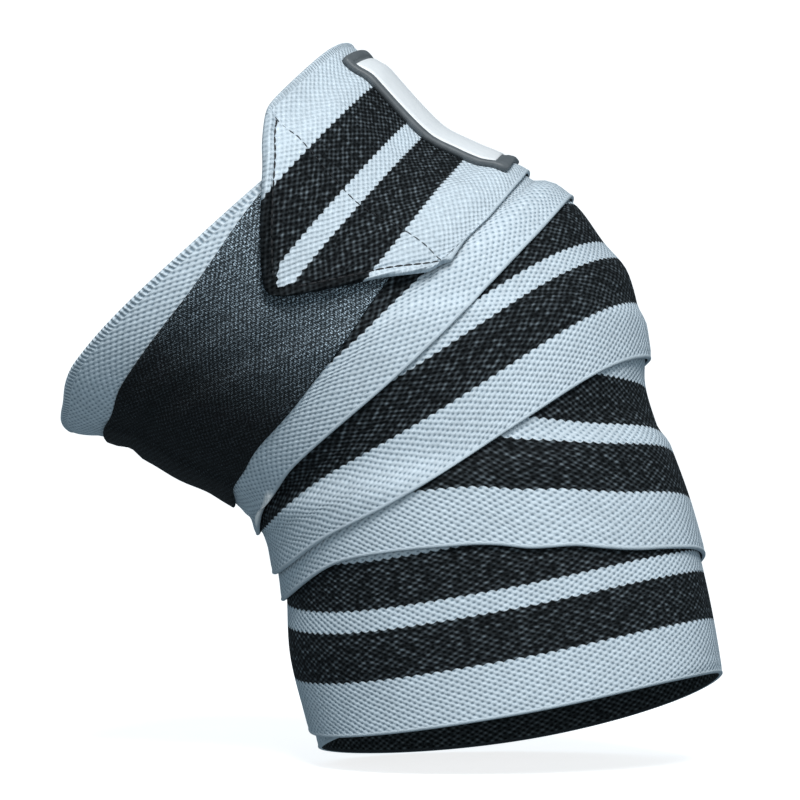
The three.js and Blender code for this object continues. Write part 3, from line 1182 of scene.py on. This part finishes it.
@dataclass(frozen=True)
class Band:
    """The striped elastic strip, from its first end under the first turn to the tip of the flap."""

    winding: Winding
    flap: Flap
    stripes: Stripes
    rows_per_turn: int = 240
    flap_rows: int = 84
    tip_gap: float = 0.00002
    thickness: float = 1.5
    edge_steps: Steps = (0.0, 0.12, 0.35, 0.7, 1.05, 1.4, 1.8, 2.4, 3.2, 4.2, 5.4, 7.0)
    selvedge: Steps = (0.75, 1.2, 1.48, 1.55, 1.48, 1.4, 1.4, 1.45, 1.5, 1.5, 1.5, 1.5)
    hem: Steps = (1.4, 2.2, 2.8, 3.4, 3.6, 3.6, 3.4, 2.5, 0.9, 1.7, 1.85, 1.65)
    roll_turns: tuple[float, float, float, float] = (4.41, 4.425, 4.445, 4.47)
    roll_rise: float = 1.6
    roll_width: float = 2.6
    cord_full: float = 0.5
    rim_width: float = 3.6
    rim_blend: float = 0.8
    inner_steps: Steps = (0.12, 0.5, 2.0, 6.0)
    inner_edge: Steps = (0.3, 0.06, 0.0, 0.0)
    edge_room: float = 1.0
    outer_cells: int = 26
    inner_cells: int = 12
    stretched_repeat: float = 3.4
    slack_repeat: float = 2.8
    slack_from: float = 4.95
    slack_to: float = 5.1
    flat_size: Span = (0.082, 1.95)

    def turns(self) -> Array:
        """The strip's rows: even along the turns, closer towards the tip of the flap.

        Returns:
            The rows' turns, rising.
        """
        first = self.winding.course.first
        wound = np.arange(first, self.flap.start, 1.0 / self.rows_per_turn)
        eased = np.sin(np.linspace(0.0, math.pi / 2.0, self.flap_rows))
        point = self.flap.start + (self.flap.tip - self.tip_gap - self.flap.start) * eased
        corners = [self.flap.upper_corner, self.flap.lower_corner]
        return np.unique(np.concatenate([wound, point, corners]))

    def hem_share(self, turns: Array, corner: float) -> Array:
        """0 along the woven selvedge, 1 along the cut and hemmed side past a corner."""
        return soft_step(turns, corner - self.flap.corner_blend, corner + self.flap.corner_blend)

    def edge_height(self, distance: Array, hemmed: Array) -> Array:
        """Height of the outer face near an edge.

        Args:
            distance: Distances from the edge, square to it.
            hemmed: 0 where the edge is woven, 1 where it is hemmed, for each row.

        Returns:
            Heights over the inner face, of distance's shape.
        """
        woven = np.interp(distance, self.edge_steps, self.selvedge)
        rolled = np.interp(distance, self.edge_steps, self.hem)
        inside = distance > self.edge_steps[-1]
        rolled = np.where(inside, self.thickness, rolled)
        return woven + (rolled - woven) * hemmed

    def cord(self, turns: Array, from_low: Array) -> Array:
        """How much the rolled corner of the low edge stands up, as a half round.

        Args:
            turns: One turn for each row.
            from_low: Distances from the low edge, shape (rows, columns).

        Returns:
            Shares of the roll's height, of from_low's shape.
        """
        first, full, fading, last = self.roll_turns
        rolled = soft_step(turns, first, full) * (1.0 - soft_step(turns, fading, last))
        half = self.roll_width / 2.0
        return rolled[:, None] * np.sqrt(np.clip(1.0 - ((from_low - half) / half) ** 2, 0.0, 1.0))

    def rim(self, distance: Array, hemmed: Array) -> Array:
        """The mask of the hemmed rim, from distances to an edge and each row's share of hem."""
        return (1.0 - soft_step(distance, self.rim_width, self.rim_width + self.rim_blend)) * hemmed[:, None]

    def ring(self, turns: Array) -> tuple[Array, Array, dict[str, Array], Array]:
        """The strip's closed section at each row: over the outer face, then back along the inner face.

        Args:
            turns: One turn for each row.

        Returns:
            Shares of the width, heights, masks of the hemmed rim and of the rolled corner, and for each
            column whether it is on the inner face.
        """
        low, high = self.flap.shares(turns)
        width = self.winding.width(turns) * (high - low)
        hem_low = self.hem_share(turns, self.flap.lower_corner)
        hem_high = self.hem_share(turns, self.flap.upper_corner)
        stretch = tuple(1.0 + (1.0 / self.flap.cut_slope - 1.0) * hem for hem in (hem_low, hem_high))
        outer = spaced(width, self.edge_steps, stretch, self.outer_cells, self.edge_room)
        inner = spaced(width, self.inner_steps, stretch, self.inner_cells, self.edge_room)
        from_low = outer / stretch[0][:, None]
        from_high = (width[:, None] - outer) / stretch[1][:, None]
        near_low = self.edge_height(from_low, hem_low[:, None])
        near_high = self.edge_height(from_high, hem_high[:, None])
        cord = self.cord(turns, from_low)
        outer_height = np.where(from_low < from_high, near_low, near_high) + self.roll_rise * cord
        to_edge = np.minimum(inner, width[:, None] - inner)
        inner_height = np.interp(to_edge, self.inner_steps, self.inner_edge)
        distances = np.concatenate([outer, inner[:, ::-1]], axis=1)
        heights = np.concatenate([outer_height, inner_height[:, ::-1]], axis=1)
        shares = low[:, None] + (high - low)[:, None] * distances / width[:, None]
        rim = np.maximum(self.rim(from_low, hem_low), self.rim(from_high, hem_high))
        masks = {"rim": rim, "cord": soft_step(cord, 0.0, self.cord_full)}
        masks = {name: np.concatenate([mask, np.zeros_like(inner)], axis=1) for name, mask in masks.items()}
        on_inner = np.arange(distances.shape[1]) >= outer.shape[1]
        return shares, heights, masks, on_inner

    def slack(self, turns: Array) -> Array:
        """0 where the strip is wound tight, 1 on the loose flap."""
        return soft_step(turns, self.slack_from, self.slack_to)

    def repeats(self, turns: Array, shares: Array) -> Array:
        """Places on the flat cloth, counted in repeats of the weave along and across.

        Args:
            turns: One turn for each row.
            shares: Shares of the width, shape (rows, columns).

        Returns:
            Flat places, shape (rows, columns, 2).
        """
        centre = self.winding.place(turns, np.full((len(turns), 1), 0.5), np.zeros((len(turns), 1)))[:, 0]
        steps = np.linalg.norm(np.diff(centre, axis=0), axis=1) / MM
        repeat = self.stretched_repeat + (self.slack_repeat - self.stretched_repeat) * self.slack(turns)
        counted = np.concatenate([[0.0], np.cumsum(steps / repeat[1:])])
        return np.stack(np.broadcast_arrays(counted[:, None], shares * self.stripes.repeats_across), -1)

    def build(self, front: bpy.types.Material, reverse: bpy.types.Material) -> bpy.types.Object:
        """Makes the strip.

        Args:
            front: Finish of the outer face.
            reverse: Finish of the inner face.

        Returns:
            The finished piece.
        """
        turns = self.turns()
        shares, heights, masks, on_inner = self.ring(turns)
        piece = loft("band", self.winding.place(turns, shares, heights))
        masks["slack"] = np.broadcast_to(self.slack(turns)[:, None], shares.shape)
        for name, values in masks.items():
            layer = piece.data.attributes.new(name, "FLOAT", "POINT")
            layer.data.foreach_set("value", values.astype(np.float32).ravel())
        paint_flat(piece, self.repeats(turns, shares).reshape(-1, 2))
        piece.data.materials.append(front)
        piece.data.materials.append(reverse)
        inner_face = on_inner & np.roll(on_inner, -1)
        index = np.concatenate([np.tile(inner_face, len(turns) - 1), [False, False]])
        piece.data.polygons.foreach_set("material_index", index.astype(np.int32))
        add_to_part(piece, "band")
        return piece


@dataclass(frozen=True)
class SewnStrip:
    """A thin closed strip with rounded edges, which the flat sewn-on fabrics share."""

    edge_steps: Steps = (0.0, 0.1, 0.3, 0.8, 1.6)
    edge_shape: Steps = (0.5, 0.8, 0.95, 1.0, 1.0)
    edge_room: float = 0.5
    cells: int = 20

    def ring(self, edges: Pair, width: Array, base: float, thickness: Array) -> Pair:
        """The strip's closed section at each row.

        Args:
            edges: Shares of its low and its high edge, for each row.
            width: Width of the whole band, for each row.
            base: Height of its inner face.
            thickness: Its thickness, for each row.

        Returns:
            Shares of the band's width, and heights.
        """
        low, high = edges
        own = (high - low) * width
        even = np.ones(len(own))
        across = spaced(own, self.edge_steps, (even, even), self.cells, self.edge_room)
        swell = np.interp(np.minimum(across, own[:, None] - across), self.edge_steps, self.edge_shape)
        distances = np.concatenate([across, across[:, -2:0:-1]], axis=1)
        closed_swell = np.concatenate([swell, 1.0 - swell[:, -2:0:-1]], axis=1)
        heights = base + closed_swell * thickness[:, None]
        return low[:, None] + distances / width[:, None], heights

    def sew(
        self, name: str, winding: Winding, turns: Array, edges: Pair, base: float, thickness: Array
    ) -> bpy.types.Object:
        """Makes the strip where it lies on the wound band.

        Args:
            name: Name of the piece.
            winding: Where the band lies.
            turns: One turn for each row.
            edges: Shares of its low and its high edge, for each row.
            base: Height of its inner face.
            thickness: Its thickness, for each row.

        Returns:
            The new object, with its place on the flat cloth in millimetres.
        """
        width = winding.width(turns)
        shares, heights = self.ring(edges, width, base, thickness)
        rings = winding.place(turns, shares, heights)
        piece = loft(name, rings)
        along = run_lengths(rings.mean(axis=1))
        flat = np.stack(np.broadcast_arrays(along[:, None], shares * width[:, None]), -1)
        paint_flat(piece, flat.reshape(-1, 2))
        return piece


@dataclass(frozen=True)
class LoopPanel:
    """The brushed fastening panel on the outer face of the last full turn."""

    band: Band
    strip: SewnStrip = SewnStrip()
    rows: int = 220
    gap: float = 0.05
    thickness: float = 0.75
    doubled: float = 1.0
    doubled_turns: Span = (4.425, 4.44)
    flat_size: Span = (0.05, 0.235)

    def build(self, cloth: bpy.types.Material) -> bpy.types.Object:
        """Makes the panel.

        Args:
            cloth: Its finish.

        Returns:
            The finished piece.
        """
        course = self.band.winding.panel_course
        turns = np.linspace(course.first, course.last, self.rows)
        edges = (course.read("low", turns), course.read("high", turns))
        base = self.band.thickness + self.gap
        thickness = self.thickness + self.doubled * soft_step(turns, *self.doubled_turns)
        piece = self.strip.sew("loop_panel", self.band.winding, turns, edges, base, thickness)
        piece.data.materials.append(cloth)
        add_to_part(piece, "loop_panel")
        return piece


@dataclass(frozen=True)
class HookPatch:
    """The hook tape under the flap, set in from the flap's outline."""

    band: Band
    strip: SewnStrip = SewnStrip()
    tip_inset: float = 0.02
    inset: float = 0.06
    rows: int = 60
    gap: float = 0.05
    thickness: float = 0.8
    flat_size: Span = (0.066, 0.034)
    flat_area: float = 0.0011

    def build(self, cloth: bpy.types.Material) -> bpy.types.Object:
        """Makes the patch.

        Args:
            cloth: Its finish.

        Returns:
            The finished piece.
        """
        winding = self.band.winding
        turns = np.linspace(winding.hook_start, self.band.flap.tip - self.tip_inset, self.rows)
        low, high = self.band.flap.shares(turns)
        edges = (low + self.inset, high - self.inset)
        base = -self.gap - self.thickness
        thickness = np.full(len(turns), self.thickness)
        piece = self.strip.sew("hook_patch", winding, turns, edges, base, thickness)
        piece.data.materials.append(cloth)
        add_to_part(piece, "hook_patch")
        return piece


@dataclass(frozen=True)
class LabelPatch:
    """The moulded rubber patch across the flap: a raised border round a bare field."""

    band: Band
    start: float = 4.988
    end: float = 5.072
    low: float = 0.07
    high: float = 0.93
    girth: float = 500.0
    corner: float = 2.0
    corner_points: int = 9
    side_points: int = 30
    gap: float = 0.05
    rim: tuple[Span, ...] = (
        (0.0, 0.0),
        (0.0, 1.5),
        (0.2, 1.95),
        (0.5, 2.2),
        (1.0, 2.3),
        (2.2, 2.3),
        (2.7, 2.15),
        (2.95, 1.8),
        (3.2, 1.6),
        (3.9, 1.6),
    )
    field_edge: tuple[Span, ...] = ((4.05, 1.65), (4.2, 1.95), (4.5, 2.1))
    field_rings: int = 9
    field_height: float = 2.1
    seam: float = 1e-7

    def outline(self, half_along: float, half_across: float, corner: float) -> Array:
        """A rounded rectangle about the patch's middle.

        Args:
            half_along: Half its size along the strip.
            half_across: Half its size across the strip.
            corner: Radius of its corners.

        Returns:
            Points, shape (count, 2), the same count for every size.
        """
        quarter = np.linspace(0.0, 1.0, self.corner_points)
        share = np.linspace(0.0, 1.0, self.side_points + 2)[1:-1, None]
        arcs = []
        for number, (sign_along, sign_across) in enumerate(((1, 1), (-1, 1), (-1, -1), (1, -1))):
            middle = np.array([sign_along * (half_along - corner), sign_across * (half_across - corner)])
            angles = math.pi / 2.0 * (number + quarter)
            arcs.append(middle + corner * np.stack([np.cos(angles), np.sin(angles)], -1))
        points = []
        for arc, following in zip(arcs, arcs[1:] + arcs[:1]):
            points += [arc, arc[-1] + (following[0] - arc[-1]) * share]
        return np.concatenate(points)

    def build(self, dark: bpy.types.Material, pale: bpy.types.Material) -> bpy.types.Object:
        """Makes the patch.

        Args:
            dark: Finish of the border and the base.
            pale: Finish of the bare field.

        Returns:
            The finished piece.
        """
        winding = self.band.winding
        middle_turn = (self.start + self.end) / 2.0
        middle_share = (self.low + self.high) / 2.0
        width = float(winding.width(np.array([middle_turn]))[0])
        half_along = (self.end - self.start) / 2.0 * self.girth
        half_across = (self.high - self.low) / 2.0 * width
        inward = np.linspace(self.field_edge[-1][0], half_along, self.field_rings + 1)[1:]
        top = [*self.rim, *self.field_edge, *((inset, self.field_height) for inset in inward)]
        profile = [*((inset, 0.0) for inset in inward[::-1]), *top]
        rings = []
        for inset, height in profile:
            corner = min(max(self.corner - inset, 0.0), half_along - inset)
            flat = self.outline(half_along - inset, half_across - inset, corner)
            rings.append((flat, height))
        flat = np.concatenate([ring for ring, _ in rings])
        height = np.concatenate([np.full(len(ring), level) for ring, level in rings])
        turns = middle_turn + flat[:, 0] / self.girth
        shares = (middle_share + flat[:, 1] / width)[:, None]
        raised = (self.band.thickness + self.gap + height)[:, None]
        points = winding.place(turns, shares, raised)[:, 0]
        piece = loft("label_patch", points.reshape(len(rings), -1, 3))
        paint_flat(piece, flat)
        piece.data.materials.append(dark)
        piece.data.materials.append(pale)
        count = len(rings[0][0])
        first_pale = len(inward) + len(self.rim)
        index = np.zeros(len(piece.data.polygons), np.int32)
        index[first_pale * count : (len(rings) - 1) * count] = 1
        piece.data.polygons.foreach_set("material_index", index)
        self.close_middle(piece)
        add_to_part(piece, "label_patch")
        return piece

    def close_middle(self, piece: bpy.types.Object) -> None:
        """Welds the innermost rings, which lie on a line, and drops the faces that this leaves without area.

        Args:
            piece: The patch, with its two caps last among its faces.
        """
        work = bmesh.new()
        work.from_mesh(piece.data)
        work.faces.ensure_lookup_table()
        bmesh.ops.delete(work, geom=work.faces[-2:], context="FACES_ONLY")
        bmesh.ops.remove_doubles(work, verts=work.verts, dist=self.seam)
        bmesh.ops.dissolve_degenerate(work, dist=self.seam, edges=work.edges)
        work.to_mesh(piece.data)
        work.free()


@dataclass(frozen=True)
class Stitching:
    """The triangle of dark stitches that holds the flap's hems and its hook patch."""

    band: Band
    stitch: float = 3.0
    pause: float = 0.2
    hem_radius: float = 0.36
    base_radius: float = 0.16
    rings: int = 7
    sides: int = 6
    sink: float = 0.35
    arch: float = 0.22
    hem_inset: float = 3.2
    hem_height: float = 1.1
    base_height: float = 1.5
    samples: int = 240
    taper_from: float = 0.15
    taper_power: float = 0.35
    arch_power: float = 0.6
    probe: float = 1.0

    def runs(self) -> list[tuple[Array, Array, float, float]]:
        """The seams on the flat strip: one along each hem and one across the strip between its corners.

        Returns:
            For each seam its turns, its shares, the height of the cloth under it and the thread's radius.
        """
        flap = self.band.flap
        width = float(self.band.winding.width(np.array([flap.tip]))[0])
        inset = self.hem_inset / flap.cut_slope / width
        last = flap.tip - self.hem_inset / flap.cut_slope / self.band.winding.mean_girth
        upper = np.linspace(flap.upper_corner, last, self.samples)
        lower = np.linspace(flap.lower_corner, last, self.samples)
        across = np.linspace(0.0, 1.0, self.samples)
        base_turns = flap.lower_corner + (flap.upper_corner - flap.lower_corner) * across
        edge = self.hem_inset / width
        upper_shares = np.maximum(flap.shares(upper)[1] - inset, flap.tip_share)
        lower_shares = np.minimum(flap.shares(lower)[0] + inset, flap.tip_share)
        base_shares = edge + (1.0 - 2.0 * edge) * across
        return [
            (upper, upper_shares, self.hem_height, self.hem_radius),
            (lower, lower_shares, self.hem_height, self.hem_radius),
            (base_turns, base_shares, self.base_height, self.base_radius),
        ]

    def tube(self, line: Array, out: Array, radius: float) -> Array:
        """Points of one stitch, a closed tube.

        Args:
            line: Its middle line in metres.
            out: Outward direction of the cloth at each point of the line.
            radius: The thread's radius.

        Returns:
            Points in metres, ring after ring.
        """
        run = unit(np.gradient(line, axis=0))
        side = unit(np.cross(run, out))
        up = np.cross(side, run)
        angles = np.arange(self.sides) * TAU / self.sides
        swing = np.linspace(self.taper_from, math.pi - self.taper_from, len(line))
        taper = np.sin(swing) ** self.taper_power * radius * MM
        spokes = np.cos(angles)[None, :, None] * side[:, None] + np.sin(angles)[None, :, None] * up[:, None]
        return (line[:, None] + spokes * taper[:, None, None]).reshape(-1, 3)

    def build(self, thread: bpy.types.Material) -> bpy.types.Object:
        """Makes all the stitches as one piece.

        Args:
            thread: Their finish.

        Returns:
            The finished piece.
        """
        winding = self.band.winding
        pattern = ring_faces(self.rings, self.sides)
        arched = np.sin(np.linspace(0.0, math.pi, self.rings)) ** self.arch_power
        rise = (arched * (self.arch + self.sink) - self.sink)[:, None]
        points: list[Array] = []
        faces: Faces = []
        for turns, shares, height, radius in self.runs():
            level = np.full((len(turns), 1), height)
            seam = winding.place(turns, shares[:, None], level)[:, 0]
            above = winding.place(turns, shares[:, None], level + self.probe)[:, 0]
            lengths = run_lengths(seam)
            for begin in np.arange(self.pause, lengths[-1] - self.stitch, self.stitch + self.pause):
                at = np.linspace(begin, begin + self.stitch, self.rings)
                line = np.stack([np.interp(at, lengths, seam[:, k]) for k in range(3)], -1)
                out = unit(np.stack([np.interp(at, lengths, above[:, k] - seam[:, k]) for k in range(3)], -1))
                first = len(points) * self.rings * self.sides
                points.append(self.tube(line + out * rise * MM, out, radius))
                faces.extend(tuple(first + corner for corner in face) for face in pattern)
        cloud = np.concatenate(points)
        piece = new_mesh_object("stitching", cloud, faces)
        paint_flat(piece, cloud[:, :2] / MM)
        piece.data.materials.append(thread)
        add_to_part(piece)
        return piece


@dataclass(frozen=True)
class Lamp:
    """A soft square lamp, turned to the part. Its place and size are in metres and its power in watts."""

    name: str
    place: Point
    size: float
    power: float
    colour: Colour

    def build(self) -> None:
        """Puts the lamp in the scene."""
        data = bpy.data.lights.new(self.name, "AREA")
        data.size = self.size
        data.energy = self.power
        data.color = self.colour
        lamp = bpy.data.objects.new(self.name, data)
        lamp.location = self.place
        back = unit(np.array(self.place))
        lamp.rotation_euler = (math.acos(back[2]), 0.0, math.atan2(back[0], -back[1]))
        bpy.context.scene.collection.objects.link(lamp)


@dataclass(frozen=True)
class Studio:
    """A pale floor that curves up into a backdrop, in metres, with soft light and the camera."""

    image_side: float = 800.0
    sensor: float = 36.0
    focal_pixels: float = 4425.0
    camera_at: Point = (-0.0193, -1.5, 0.0136)
    floor_drop: float = 0.001
    floor_half: float = 4.0
    floor_front: float = -4.0
    floor_back: float = 2.0
    bend_radius: float = 1.0
    wall_height: float = 4.0
    bend_steps: int = 24
    floor_colour: Colour = (0.86, 0.87, 0.88)
    floor_roughness: float = 0.9
    glow_colour: Colour = (1.0, 1.0, 1.0)
    floor_glow: float = 0.8
    sky_colour: Colour = (0.70, 0.88, 1.0)
    sky_strength: float = 0.285
    lamps: tuple[Lamp, ...] = (
        Lamp("key", (0.18, -1.22, 1.15), 0.6, 26.6, (1.0, 1.0, 1.0)),
        Lamp("fill", (0.1, -1.7, 0.0), 0.9, 7.0, (0.90, 0.97, 1.0)),
    )

    def camera(self) -> None:
        """Puts the camera where the picture was taken."""
        data = bpy.data.cameras.new("camera")
        data.sensor_width = self.sensor
        data.lens = self.focal_pixels / self.image_side * self.sensor
        camera = bpy.data.objects.new("camera", data)
        camera.location = self.camera_at
        camera.rotation_euler = (math.pi / 2.0, 0.0, 0.0)
        bpy.context.scene.collection.objects.link(camera)
        bpy.context.scene.camera = camera

    def backdrop(self, bottom: float) -> None:
        """Makes the floor, which bends up into a wall far behind the part.

        Args:
            bottom: The part's lowest height in metres.
        """
        floor = bottom - self.floor_drop
        turn = np.linspace(0.0, math.pi / 2.0, self.bend_steps)
        bend_y = self.floor_back + self.bend_radius * np.sin(turn)
        bend_z = floor + self.bend_radius * (1.0 - np.cos(turn))
        line_y = np.concatenate([[self.floor_front], bend_y, [self.floor_back + self.bend_radius]])
        line_z = np.concatenate([[floor], bend_z, [floor + self.wall_height]])
        points = []
        faces = []
        for row, (y, z) in enumerate(zip(line_y, line_z)):
            points += [(-self.floor_half, y, z), (self.floor_half, y, z)]
            if row:
                faces.append((2 * row - 2, 2 * row - 1, 2 * row + 1, 2 * row))
        mesh = bpy.data.meshes.new("floor")
        mesh.from_pydata(points, [], faces)
        mesh.shade_smooth()
        piece = bpy.data.objects.new("floor", mesh)
        bpy.context.scene.collection.objects.link(piece)
        material, _, shader = new_material("floor_paper")
        shader.inputs["Base Color"].default_value = (*self.floor_colour, 1.0)
        shader.inputs["Roughness"].default_value = self.floor_roughness
        shader.inputs["Emission Color"].default_value = (*self.glow_colour, 1.0)
        shader.inputs["Emission Strength"].default_value = self.floor_glow
        mesh.materials.append(material)
        piece.visible_diffuse = False
        piece.visible_glossy = False

    def sky(self) -> None:
        """Soft light from all round."""
        world = bpy.data.worlds.new("studio")
        world.use_nodes = True
        background = world.node_tree.nodes["Background"]
        background.inputs["Color"].default_value = (*self.sky_colour, 1.0)
        background.inputs["Strength"].default_value = self.sky_strength
        bpy.context.scene.world = world

    def build(self, bottom: float) -> None:
        """Makes the whole studio.

        Args:
            bottom: The part's lowest height in metres.
        """
        self.camera()
        self.backdrop(bottom)
        self.sky()
        for lamp in self.lamps:
            lamp.build()
        bpy.context.scene.view_settings.view_transform = "Standard"
        bpy.context.scene.view_settings.look = "None"


def main() -> None:
    """Builds the studio and every piece of the wrap."""
    logging.basicConfig(level=logging.INFO, format="%(name)s %(message)s")
    Studio().build(CAD_BOX[0].z)
    stripes = Stripes()
    weave = WeaveGroups.make(stripes, Beads())
    fibres = FibreSpecks().make()
    band = Band(Winding(), Flap(), stripes)
    band.build(ELASTIC_FRONT.make(weave), ELASTIC_REVERSE.make(weave))
    LoopPanel(band).build(LOOP_CLOTH.make(fibres))
    HookPatch(band).build(HOOK_CLOTH.make(fibres))
    LabelPatch(band).build(DARK_RUBBER.make(), PALE_RUBBER.make())
    Stitching(band).build(THREAD.make(fibres))


if __name__ == "__main__":
    main()
